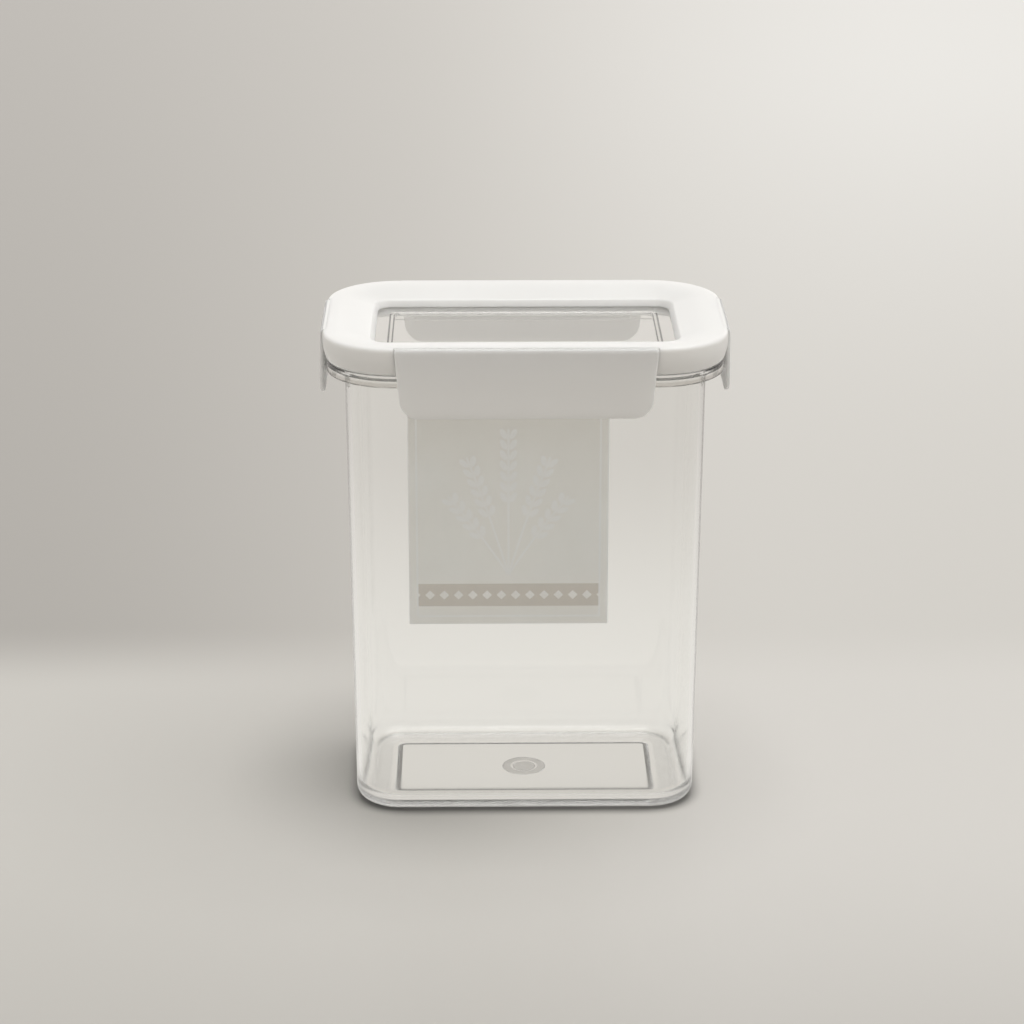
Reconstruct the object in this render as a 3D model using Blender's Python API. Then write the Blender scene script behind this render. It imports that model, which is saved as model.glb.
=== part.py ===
"""Clear food canister with a white lid that four hinged latches hold down.

Units are metres, +Z is up, and the origin is the middle of the base, on the table.
Every ring of the tub and the lid is a rounded rectangle. Most are offset from one outline,
the outside of the tub wall at the mouth, so the stacked pieces stay in step.
"""
import math

import bmesh
import bpy
from mathutils import Matrix, Vector

# General fit between pieces that seat on each other
FIT = 0.0003

# How finely curves are drawn, and the bend beyond which an edge stays crisp
CORNER_STEPS = 9
FILLET_STEPS = 6
BRIM_STEPS = 8
EDGE_STEPS = 3
LEAST_STEP = 0.00002
CRISP_ANGLE = math.radians(35)
EMPTY_SIZE = 0.01

# Tub
BASE_WIDTH = 0.1364
BASE_DEPTH = 0.0798
BASE_CORNER = 0.0180
RIM_HEIGHT = 0.1908
DRAFT = math.radians(0.62)
WALL = 0.0020
FLOOR_HEIGHT = 0.0042
FOOT_FILLET = 0.0050
FLOOR_FILLET = 0.0040
RIM_ROUND = 0.0008

# Recessed panel under the floor, with the round mark left by the moulding gate
PANEL_MARGIN = 0.0160
PANEL_CORNER = 0.0035
PANEL_RECESS = 0.0018
PANEL_BEVEL = 0.0018
GATE_DIAMETER = 0.0174
GATE_PIP_DIAMETER = 0.0090
GATE_GROOVE = 0.0005

# Flange round the mouth, with a lip turned down for the latches to grip
RIM_RISE = 0.0054
FLANGE_REACH = 0.0068
FLANGE_THICKNESS = 0.0020
LIP_HEIGHT = 0.0047
LIP_THICKNESS = 0.0020
LIP_ROUND = 0.0010

# Seal
GASKET_WIDTH = 0.0052
GASKET_HEIGHT = 0.0023
GASKET_LIP = 0.0006

# Lid frame
CREST_RISE = 0.0031
BRIM_OVERHANG = 0.00145
BRIM_ROUND_WIDTH = 0.0045
BRIM_ROUND_HEIGHT = 0.0041
BRIM_FULLNESS = 4.5
SKIRT_GAP = 0.0010
SKIRT_FLARE = 0.0030
SKIRT_THICKNESS = 0.0018
DISH_DEPTH = 0.0031
OPENING_WALL = 0.0025
OPENING_CORNER = 0.0055
OPENING_ROUND = 0.0014
LEDGE_SIDE = 0.00545
LEDGE_FRONT = 0.0067
PLUG_CLEARANCE = 0.00245
PLUG_WALL = 0.0020
PLUG_REACH = 0.0068
GROOVE_RIB = 0.0013
GROOVE_DEPTH = 0.0018

# Window
WINDOW_THICKNESS = 0.0020
WINDOW_RIB_INSET = 0.0050
WINDOW_RIB_WALL = 0.0016
WINDOW_RIB_HEIGHT = 0.0030
WINDOW_RIB_CORNER = 0.0030

# Latches and their hinge webs
FRONT_LATCH_WIDTH = 0.1006
SIDE_LATCH_WIDTH = 0.0435
LATCH_TAPER = 0.0026
LATCH_HEIGHT = 0.0273
LATCH_THICKNESS = 0.0017
LATCH_STANDOFF = 0.00125
LATCH_CORNER = 0.0070
LATCH_HEEL = 0.0008
LATCH_CROWN_HEIGHT = 0.0025
LATCH_CROWN_DEPTH = 0.0008
LATCH_BOW = 0.00065
LATCH_LIP_HEIGHT = 0.0030
LATCH_LIP_DEPTH = 0.0009
LATCH_DROP = 0.0004
BEAD_HEIGHT = 0.0024
HINGE_GROOVE = 0.0010
WEB_THICKNESS = 0.00045
NOTCH_CLEARANCE = 0.0003

# Paper label on the outside of the back wall
LABEL_WIDTH = 0.0835
LABEL_HEIGHT = 0.1040
LABEL_BOTTOM = 0.0496
LABEL_SHIFT = -0.0059
LABEL_THICKNESS = 0.0002

# Levels worked up from the mouth of the tub
FLANGE_TOP = RIM_HEIGHT - RIM_RISE
LIP_BOTTOM = FLANGE_TOP - LIP_HEIGHT
GASKET_BOTTOM = RIM_HEIGHT + FIT
GASKET_TOP = GASKET_BOTTOM + GASKET_HEIGHT
GROOVE_CEILING = GASKET_TOP + FIT
LID_CREST = GROOVE_CEILING + CREST_RISE
BRIM_LEVEL = LID_CREST - BRIM_ROUND_HEIGHT
OPENING_EDGE = LID_CREST - DISH_DEPTH
WINDOW_SEAT = OPENING_EDGE - OPENING_WALL
WINDOW_TOP = WINDOW_SEAT - FIT
WINDOW_BOTTOM = WINDOW_TOP - WINDOW_THICKNESS
SKIRT_BOTTOM = FLANGE_TOP + SKIRT_GAP
PLUG_BOTTOM = RIM_HEIGHT - PLUG_REACH
LATCH_TOP = LID_CREST - LATCH_DROP
LATCH_BOTTOM = LATCH_TOP - LATCH_HEIGHT
BEAD_TOP = LIP_BOTTOM - FIT

# Offsets outwards from the tub wall at the mouth
BRIM_REACH = FLANGE_REACH + BRIM_OVERHANG
SKIRT_REACH = BRIM_REACH - SKIRT_FLARE
PLUG_OUTER = -WALL - PLUG_CLEARANCE
PLUG_INNER = PLUG_OUTER - PLUG_WALL
GASKET_INNER = PLUG_OUTER + FIT
GASKET_OUTER = GASKET_INNER + GASKET_WIDTH
GROOVE_OUTER = GASKET_OUTER + FIT
LATCH_INNER = FLANGE_REACH + LATCH_STANDOFF
LATCH_OUTER = LATCH_INNER + LATCH_THICKNESS
HINGE_OFFSET = LATCH_INNER - HINGE_GROOVE / 2
HINGE_LEVEL = LATCH_TOP - WEB_THICKNESS / 2

# The tub wall's outline at the mouth
MOUTH_SPREAD = RIM_HEIGHT * math.tan(DRAFT)
MOUTH_WIDTH = BASE_WIDTH + 2 * MOUTH_SPREAD
MOUTH_DEPTH = BASE_DEPTH + 2 * MOUTH_SPREAD
MOUTH_CORNER = BASE_CORNER + MOUTH_SPREAD


def clear_scene():
    """Remove every object, so the script can be run again in an open file."""
    for old in list(bpy.data.objects):
        bpy.data.objects.remove(old, do_unlink=True)


def make_material(name, colour, roughness, alpha=1.0, transmission=0.0):
    """A Principled material of one plain colour."""
    material = bpy.data.materials.new(name)
    material.use_nodes = True
    shader = material.node_tree.nodes["Principled BSDF"]
    shader.inputs["Base Color"].default_value = (*colour, 1.0)
    shader.inputs["Roughness"].default_value = roughness
    shader.inputs["Metallic"].default_value = 0.0
    shader.inputs["Alpha"].default_value = alpha
    shader.inputs["Transmission Weight"].default_value = transmission
    material.diffuse_color = (*colour, alpha)
    return material


def rounded_loop(width, depth, corner, level):
    """Points of a rounded rectangle, anticlockwise seen from above."""
    points = []
    for quarter, (side_x, side_y) in enumerate(((1, 1), (-1, 1), (-1, -1), (1, -1))):
        centre_x = side_x * (width / 2 - corner)
        centre_y = side_y * (depth / 2 - corner)
        for step in range(CORNER_STEPS + 1):
            angle = math.radians(90) * (quarter + step / CORNER_STEPS)
            x = centre_x + corner * math.cos(angle)
            y = centre_y + corner * math.sin(angle)
            points.append(Vector((x, y, level)))
    return points


def mouth_loop(offset, level):
    """The mouth outline moved outwards by an offset, at a level."""
    corner = MOUTH_CORNER + offset
    return rounded_loop(MOUTH_WIDTH + 2 * offset, MOUTH_DEPTH + 2 * offset, corner, level)


def wall_offset(level):
    """How far the drafted tub wall stands inside the mouth outline at a level."""
    return (level - RIM_HEIGHT) * math.tan(DRAFT)


def opening_loop(offset, level):
    """The window opening's outline moved outwards by an offset, at a level."""
    width = MOUTH_WIDTH + 2 * (PLUG_INNER - LEDGE_SIDE + offset)
    depth = MOUTH_DEPTH + 2 * (PLUG_INNER - LEDGE_FRONT + offset)
    return rounded_loop(width, depth, OPENING_CORNER + offset, level)


def circle_loop(radius, level):
    """A circle with as many points as the rounded rectangles have."""
    points = []
    count = 4 * (CORNER_STEPS + 1)
    for step in range(count):
        angle = math.radians(360) * step / count
        points.append(Vector((radius * math.cos(angle), radius * math.sin(angle), level)))
    return points


def arc(offset, level, across, up, start, end, steps):
    """Offset and level pairs along an elliptical arc, with its angles in degrees."""
    pairs = []
    for step in range(steps + 1):
        angle = math.radians(start + (end - start) * step / steps)
        pairs.append((offset + across * math.cos(angle), level + up * math.sin(angle)))
    return pairs


def loft(name, loops, material, closed=False):
    """Skin a row of loops into one solid. A closed row is a ring, an open row is capped at both ends."""
    mesh_builder = bmesh.new()
    rows = [[mesh_builder.verts.new(point) for point in loop] for loop in loops]
    count = len(rows[0])
    pairs = list(zip(rows, rows[1:]))
    if closed:
        pairs.append((rows[-1], rows[0]))
    else:
        mesh_builder.faces.new(list(reversed(rows[0])))
        mesh_builder.faces.new(rows[-1])
    for lower, upper in pairs:
        for index in range(count):
            after = (index + 1) % count
            mesh_builder.faces.new((lower[index], lower[after], upper[after], upper[index]))
    bmesh.ops.recalc_face_normals(mesh_builder, faces=mesh_builder.faces)
    mesh = bpy.data.meshes.new(name)
    mesh_builder.to_mesh(mesh)
    mesh_builder.free()
    mesh.shade_smooth()
    mesh.set_sharp_from_angle(angle=CRISP_ANGLE)
    mesh.materials.append(material)
    piece = bpy.data.objects.new(name, mesh)
    bpy.context.scene.collection.objects.link(piece)
    return piece


def make_empty(name, location, turn=0.0):
    """An empty that carries pieces, turned about the vertical axis."""
    empty = bpy.data.objects.new(name, None)
    empty.empty_display_size = EMPTY_SIZE
    empty.location = location
    empty.rotation_euler = (0.0, 0.0, turn)
    bpy.context.scene.collection.objects.link(empty)
    return empty


def add_box(name, low, high):
    """A plain box between two corners, used as a cutter or a thin sheet."""
    mesh_builder = bmesh.new()
    size = Vector(high) - Vector(low)
    middle = (Vector(high) + Vector(low)) / 2
    placing = Matrix.Translation(middle) @ Matrix.Diagonal((*size, 1.0))
    bmesh.ops.create_cube(mesh_builder, size=1.0, matrix=placing)
    mesh = bpy.data.meshes.new(name)
    mesh_builder.to_mesh(mesh)
    mesh_builder.free()
    box = bpy.data.objects.new(name, mesh)
    bpy.context.scene.collection.objects.link(box)
    return box


def build_tub(material):
    """The clear tub: recessed base, drafted wall, flange with a turned-down lip, and the mouth."""
    panel_width = BASE_WIDTH - 2 * PANEL_MARGIN
    panel_depth = BASE_DEPTH - 2 * PANEL_MARGIN
    run = 2 * PANEL_BEVEL
    groove_level = PANEL_RECESS + GATE_GROOVE
    loops = [
        circle_loop(GATE_PIP_DIAMETER / 2, PANEL_RECESS),
        circle_loop(GATE_PIP_DIAMETER / 2, groove_level),
        circle_loop(GATE_DIAMETER / 2, groove_level),
        circle_loop(GATE_DIAMETER / 2, PANEL_RECESS),
        rounded_loop(panel_width - run, panel_depth - run, PANEL_CORNER - PANEL_BEVEL, PANEL_RECESS),
        rounded_loop(panel_width, panel_depth, PANEL_CORNER, 0.0),
    ]
    foot = wall_offset(FOOT_FILLET) - FOOT_FILLET
    underside = FLANGE_TOP - FLANGE_THICKNESS
    lip_inner = FLANGE_REACH - LIP_THICKNESS
    shoulder = FLANGE_TOP - LIP_ROUND
    mouth = RIM_HEIGHT - RIM_ROUND
    rim_outer = wall_offset(mouth) - RIM_ROUND
    rim_inner = wall_offset(mouth) - WALL + RIM_ROUND
    bend = FLOOR_HEIGHT + FLOOR_FILLET
    floor = wall_offset(bend) - WALL - FLOOR_FILLET
    profile = arc(foot, FOOT_FILLET, FOOT_FILLET, FOOT_FILLET, -90, 0, FILLET_STEPS)
    profile += [(wall_offset(underside), underside), (lip_inner, underside)]
    profile += [(lip_inner, LIP_BOTTOM), (FLANGE_REACH, LIP_BOTTOM)]
    profile += arc(FLANGE_REACH - LIP_ROUND, shoulder, LIP_ROUND, LIP_ROUND, 0, 90, EDGE_STEPS)
    profile.append((wall_offset(FLANGE_TOP), FLANGE_TOP))
    profile += arc(rim_outer, mouth, RIM_ROUND, RIM_ROUND, 0, 90, EDGE_STEPS)
    profile += arc(rim_inner, mouth, RIM_ROUND, RIM_ROUND, 90, 180, EDGE_STEPS)
    profile += arc(floor, bend, FLOOR_FILLET, FLOOR_FILLET, 0, -90, FILLET_STEPS)
    loops += [mouth_loop(*pair) for pair in profile]
    return loft("body", loops, material)


def build_gasket(material):
    """Silicone ring in the lid's groove, with a small raised lip that meets the mouth."""
    middle = (GASKET_INNER + GASKET_OUTER) / 2
    quarter = GASKET_WIDTH / 4
    shoulder = GASKET_BOTTOM + GASKET_LIP
    profile = [
        (GASKET_INNER, shoulder),
        (middle - quarter, shoulder),
        (middle - quarter / 2, GASKET_BOTTOM),
        (middle + quarter / 2, GASKET_BOTTOM),
        (middle + quarter, shoulder),
        (GASKET_OUTER, shoulder),
        (GASKET_OUTER, GASKET_TOP),
        (GASKET_INNER, GASKET_TOP),
    ]
    return loft("gasket", [mouth_loop(*pair) for pair in profile], material, closed=True)


def skirt_profile():
    """Outer face of the skirt, flaring out to the brim along a parabola."""
    pairs = []
    for step in range(FILLET_STEPS):
        share = step / FILLET_STEPS
        level = SKIRT_BOTTOM + (BRIM_LEVEL - SKIRT_BOTTOM) * share
        pairs.append((SKIRT_REACH + SKIRT_FLARE * share ** 2, level))
    return pairs


def brim_profile():
    """Edge of the brim from its widest level up to the crest, a squared-off quarter of an ellipse."""
    crest = BRIM_REACH - BRIM_ROUND_WIDTH
    power = 2 / BRIM_FULLNESS
    pairs = []
    for step in range(BRIM_STEPS):
        angle = math.radians(90) * step / BRIM_STEPS
        across = BRIM_ROUND_WIDTH * math.cos(angle) ** power
        up = BRIM_ROUND_HEIGHT * math.sin(angle) ** power
        pairs.append((crest + across, BRIM_LEVEL + up))
    pairs.append((crest, LID_CREST))
    return pairs


def dish_loops():
    """Top of the frame, sloping from the crest down to the window opening."""
    crest = mouth_loop(BRIM_REACH - BRIM_ROUND_WIDTH, LID_CREST)
    edge = opening_loop(OPENING_ROUND, OPENING_EDGE)
    loops = []
    for step in range(1, EDGE_STEPS + 1):
        loops.append([start.lerp(end, step / EDGE_STEPS) for start, end in zip(crest, edge)])
    return loops


def opening_profile():
    """Edge of the window opening, rounding over from the dish and dropping to the window's seat."""
    pairs = []
    for step in range(1, EDGE_STEPS + 1):
        angle = math.radians(90) * step / EDGE_STEPS
        inwards = OPENING_ROUND * (1 - math.sin(angle))
        pairs.append((inwards, OPENING_EDGE - OPENING_ROUND * (1 - math.cos(angle))))
    pairs.append((0.0, WINDOW_SEAT))
    return pairs


def build_lid_frame(material):
    """White lid: brim, dished top round the window, plug for the mouth and a groove for the seal."""
    loops = [mouth_loop(*pair) for pair in skirt_profile() + brim_profile()]
    loops += dish_loops()
    loops += [opening_loop(*pair) for pair in opening_profile()]
    rib_outer = GROOVE_OUTER + GROOVE_RIB
    rib_bottom = GROOVE_CEILING - GROOVE_DEPTH
    inner_skirt = [(offset - SKIRT_THICKNESS, level) for offset, level in reversed(skirt_profile())]
    hollow_reach = inner_skirt[0][0]
    underside = [
        (PLUG_INNER, WINDOW_SEAT),
        (PLUG_INNER, PLUG_BOTTOM),
        (PLUG_OUTER, PLUG_BOTTOM),
        (PLUG_OUTER, GROOVE_CEILING),
        (GROOVE_OUTER, GROOVE_CEILING),
        (GROOVE_OUTER, rib_bottom),
        (rib_outer, rib_bottom),
        (rib_outer, GROOVE_CEILING),
        (hollow_reach, GROOVE_CEILING),
    ]
    loops += [mouth_loop(*pair) for pair in underside + inner_skirt]
    return loft("lid_frame", loops, material, closed=True)


def build_window(material):
    """Clear panel held under the frame, with a stiffening rib standing down all round."""
    width = MOUTH_WIDTH + 2 * (PLUG_INNER - LEDGE_SIDE - WINDOW_RIB_INSET)
    depth = MOUTH_DEPTH + 2 * (PLUG_INNER - LEDGE_FRONT - WINDOW_RIB_INSET)
    rib_bottom = WINDOW_BOTTOM - WINDOW_RIB_HEIGHT
    inner_width = width - 2 * WINDOW_RIB_WALL
    inner_depth = depth - 2 * WINDOW_RIB_WALL
    inner_corner = WINDOW_RIB_CORNER - WINDOW_RIB_WALL
    rim = PLUG_INNER - FIT
    loops = [
        rounded_loop(inner_width, inner_depth, inner_corner, WINDOW_BOTTOM),
        rounded_loop(inner_width, inner_depth, inner_corner, rib_bottom),
        rounded_loop(width, depth, WINDOW_RIB_CORNER, rib_bottom),
        rounded_loop(width, depth, WINDOW_RIB_CORNER, WINDOW_BOTTOM),
        mouth_loop(rim, WINDOW_BOTTOM),
        mouth_loop(rim, WINDOW_TOP),
    ]
    return loft("lid_window", loops, material)


def latch_levels():
    """Heights at which a latch's section is drawn, close together at its corners, bead and top."""
    levels = {LATCH_BOTTOM, LATCH_TOP}
    for step in range(FILLET_STEPS + 1):
        share = step / FILLET_STEPS
        rise = 1 - math.sin(math.radians(90) * share)
        levels.add(LATCH_BOTTOM + LATCH_CORNER * rise)
        levels.add(LATCH_BOTTOM + LATCH_LIP_HEIGHT * rise)
        levels.add(LATCH_TOP - LATCH_CROWN_HEIGHT * rise)
        levels.add(LATCH_TOP - LATCH_HEIGHT / 2 * share)
        levels.add(BEAD_TOP - BEAD_HEIGHT * share)
    ordered = sorted(levels)
    spaced = [ordered[0]]
    for level in ordered[1:]:
        if level - spaced[-1] > LEAST_STEP:
            spaced.append(level)
    return spaced


def rounding(distance, radius):
    """How far a rounded edge has fallen away at a distance from its end."""
    if distance >= radius:
        return 0.0
    return radius - math.sqrt(radius ** 2 - (radius - distance) ** 2)


def latch_half_width(width, level):
    """Half the latch's width at a level: tapered, with rounded lower corners."""
    drop = (LATCH_TOP - level) / LATCH_HEIGHT
    return width / 2 - LATCH_TAPER * drop - rounding(level - LATCH_BOTTOM, LATCH_CORNER)


def latch_faces(level):
    """Offsets of a latch's inner and outer face at a level.

    The snap bead stands on the inner face. The outer one bows back over its upper half and rounds over
    to the brim at its top, and its lower edge is drawn in as a soft lip.
    """
    heel = rounding(level - LATCH_BOTTOM, LATCH_HEEL) / 2
    lip = rounding(level - LATCH_BOTTOM, LATCH_LIP_HEIGHT) * LATCH_LIP_DEPTH / LATCH_LIP_HEIGHT
    crown = rounding(LATCH_TOP - level, LATCH_CROWN_HEIGHT) * LATCH_CROWN_DEPTH / LATCH_CROWN_HEIGHT
    climb = max(0.0, 1 - 2 * (LATCH_TOP - level) / LATCH_HEIGHT)
    bow = LATCH_BOW * climb ** 2
    share = (BEAD_TOP - level) / BEAD_HEIGHT
    bead = 0.0
    if 0.0 < share < 1.0:
        bead = (LATCH_STANDOFF - FIT) * math.sin(math.pi * share)
    return LATCH_INNER + heel - bead, LATCH_OUTER - lip - crown - bow


def build_latch(name, width, hinge, material):
    """One latch plate with its snap bead, hung on an empty that lies on the hinge line."""
    loops = []
    for level in latch_levels():
        half = latch_half_width(width, level)
        inner, outer = latch_faces(level)
        near = HINGE_OFFSET - outer
        far = HINGE_OFFSET - inner
        up = level - HINGE_LEVEL
        corners = ((-half, near), (half, near), (half, far), (-half, far))
        loops.append([Vector((across, out, up)) for across, out in corners])
    latch = loft(name, loops, material)
    latch.parent = hinge
    return latch


def build_web(name, width, hinge, material):
    """The thin living hinge that joins a latch to the brim."""
    half = width / 2 - NOTCH_CLEARANCE
    reach = HINGE_GROOVE / 2 - FIT
    web = add_box(name, (-half, -reach, -WEB_THICKNESS / 2), (half, reach, WEB_THICKNESS / 2))
    web.data.materials.append(material)
    web.parent = hinge
    return web


def cut_notch(frame, name, width, hinge):
    """Trim the brim where a latch hangs, which leaves an upright face behind the hinge groove."""
    half = width / 2 + NOTCH_CLEARANCE
    clear = -2 * BRIM_REACH
    low = SKIRT_BOTTOM - BRIM_LEVEL
    high = CREST_RISE
    cutter = add_box(name, (-half, clear, low), (half, HINGE_GROOVE / 2, high))
    cutter.parent = hinge
    cutter.hide_render = True
    cutter.display_type = "WIRE"
    trim = frame.modifiers.new(name, "BOOLEAN")
    trim.operation = "DIFFERENCE"
    trim.solver = "EXACT"
    trim.object = cutter


def build_label(material):
    """Paper label on the back wall, leaning with the wall's draft."""
    middle_level = LABEL_BOTTOM + LABEL_HEIGHT / 2
    wall = MOUTH_DEPTH / 2 + wall_offset(middle_level)
    half = LABEL_WIDTH / 2
    low = (-half, FIT, -LABEL_HEIGHT / 2)
    high = (half, FIT + LABEL_THICKNESS, LABEL_HEIGHT / 2)
    label = add_box("label", low, high)
    label.data.materials.append(material)
    label.location = (LABEL_SHIFT, wall, middle_level)
    label.rotation_euler = (-DRAFT, 0.0, 0.0)
    return label


def main():
    clear_scene()
    clear_plastic = make_material("clear_plastic", (0.93, 0.93, 0.91), 0.08, 0.3, 0.9)
    white_plastic = make_material("white_plastic", (0.86, 0.86, 0.83), 0.38)
    silicone = make_material("silicone", (0.82, 0.82, 0.79), 0.5)
    paper = make_material("label_paper", (0.62, 0.60, 0.55), 0.65)

    body = build_tub(clear_plastic)
    label = build_label(paper)
    label.parent = body

    lid = make_empty("lid_lift_line", (0.0, 0.0, 0.0))
    frame = build_lid_frame(white_plastic)
    for piece in (frame, build_window(clear_plastic), build_gasket(silicone)):
        piece.parent = lid

    front = MOUTH_DEPTH / 2 + HINGE_OFFSET
    side = MOUTH_WIDTH / 2 + HINGE_OFFSET
    places = (
        ("front", FRONT_LATCH_WIDTH, (0.0, -front, HINGE_LEVEL), 0),
        ("right", SIDE_LATCH_WIDTH, (side, 0.0, HINGE_LEVEL), 90),
        ("rear", FRONT_LATCH_WIDTH, (0.0, front, HINGE_LEVEL), 180),
        ("left", SIDE_LATCH_WIDTH, (-side, 0.0, HINGE_LEVEL), 270),
    )
    for where, width, location, turn in places:
        hinge = make_empty(where + "_hinge_line", location, math.radians(turn))
        hinge.parent = lid
        build_latch(where + "_latch", width, hinge, white_plastic)
        build_web(where + "_hinge_web", width, hinge, white_plastic)
        cut_notch(frame, where + "_notch_cutter", width, hinge)


main()
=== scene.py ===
# %% [markdown]
# # A clear food canister with a white snap lid
# The real object is a tall clear tub, a white lid with a clear window, a silicone seal, and a latch on each
# of the four sides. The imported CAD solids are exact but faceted, and clear plastic shows every facet. So each
# piece is drawn again here with fine, softly rounded edges, in the same place and at the same size.

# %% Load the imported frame
import math

import bmesh
import bpy
from mathutils import Matrix, Vector


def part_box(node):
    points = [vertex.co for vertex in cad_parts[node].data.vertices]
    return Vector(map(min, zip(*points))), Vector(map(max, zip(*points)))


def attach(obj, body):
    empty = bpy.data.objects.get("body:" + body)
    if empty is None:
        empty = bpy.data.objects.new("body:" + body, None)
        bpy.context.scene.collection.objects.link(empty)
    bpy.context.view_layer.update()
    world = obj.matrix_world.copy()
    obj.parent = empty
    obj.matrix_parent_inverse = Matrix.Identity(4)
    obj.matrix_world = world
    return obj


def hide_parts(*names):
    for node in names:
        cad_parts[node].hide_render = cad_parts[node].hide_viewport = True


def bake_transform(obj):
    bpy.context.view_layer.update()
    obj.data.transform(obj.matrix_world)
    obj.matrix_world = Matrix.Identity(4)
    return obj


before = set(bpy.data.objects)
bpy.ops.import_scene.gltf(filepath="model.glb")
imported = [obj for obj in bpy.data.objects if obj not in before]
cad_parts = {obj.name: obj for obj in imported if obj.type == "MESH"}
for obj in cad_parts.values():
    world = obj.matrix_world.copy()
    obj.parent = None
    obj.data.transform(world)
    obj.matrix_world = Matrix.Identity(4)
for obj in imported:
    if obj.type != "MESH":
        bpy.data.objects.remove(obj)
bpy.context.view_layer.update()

MM = 0.001
print("CAD nodes:", sorted(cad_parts))

# %% [markdown]
# ## The camera
# The photograph was taken with a long lens from a little above the lid. The focal length, the tilt and the
# distance were found by matching the corners of the lid, the label and the base, so they are plain numbers here.

# %% Camera
LENS = 105.47
TILT = math.radians(19.53)
SWING = math.radians(0.69)
forward = Vector((math.sin(SWING), math.cos(SWING), 0.0))
sideways = Vector((math.cos(SWING), -math.sin(SWING), 0.0))
camera_data = bpy.data.cameras.new("photo_camera")
camera_data.lens = LENS
camera_data.sensor_width = 36.0
camera_data.clip_end = 50.0
camera = bpy.data.objects.new("photo_camera", camera_data)
camera.location = forward * -1139.2 * MM + Vector((0.0, 0.0, 517.6 * MM)) - sideways * 4.9 * MM
camera.rotation_euler = (math.radians(90) - TILT, 0.0, -SWING)
bpy.context.scene.collection.objects.link(camera)
bpy.context.scene.camera = camera
print("Camera at", [round(c, 4) for c in camera.location])

# %% [markdown]
# ## A few helpers for node trees
# Shader trees and geometry trees are wired in the same way: make a node, set its options, then give each input
# either a value or another node's output. One helper does that, and a second one makes a Math node.

# %% Node helpers
def place(tree, kind, inputs=None, **options):
    """Add a node, set its options, and fill each named input with a value or a link."""
    made = tree.nodes.new(kind)
    for option, value in options.items():
        setattr(made, option, value)
    for name, value in (inputs or {}).items():
        if isinstance(value, bpy.types.NodeSocket):
            tree.links.new(value, made.inputs[name])
        else:
            made.inputs[name].default_value = value
    return made


def reckon(tree, operation, first, second=0.0, third=0.0):
    """A Math node's answer."""
    inputs = {0: first, 1: second, 2: third}
    return place(tree, "ShaderNodeMath", inputs, operation=operation).outputs[0]


def ease(tree, value, start, end, low=0.0, high=1.0):
    """A smooth step from low to high while value goes from start to end."""
    inputs = {"Value": value, "From Min": start, "From Max": end, "To Min": low, "To Max": high}
    return place(tree, "ShaderNodeMapRange", inputs, interpolation_type="SMOOTHSTEP").outputs["Result"]


def blend_colours(tree, share, first, second):
    """One colour turning into another by a share."""
    mix = place(tree, "ShaderNodeMix", data_type="RGBA")
    for socket, value in ((mix.inputs[0], share), (mix.inputs[6], first), (mix.inputs[7], second)):
        if isinstance(value, bpy.types.NodeSocket):
            tree.links.new(value, socket)
        else:
            socket.default_value = value
    return mix.outputs[2]


def new_material(name):
    """A material with an empty tree and its output node."""
    material = bpy.data.materials.new(name)
    material.use_nodes = True
    material.node_tree.nodes.clear()
    output = material.node_tree.nodes.new("ShaderNodeOutputMaterial")
    return material, material.node_tree, output


print("Node helpers ready")
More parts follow.
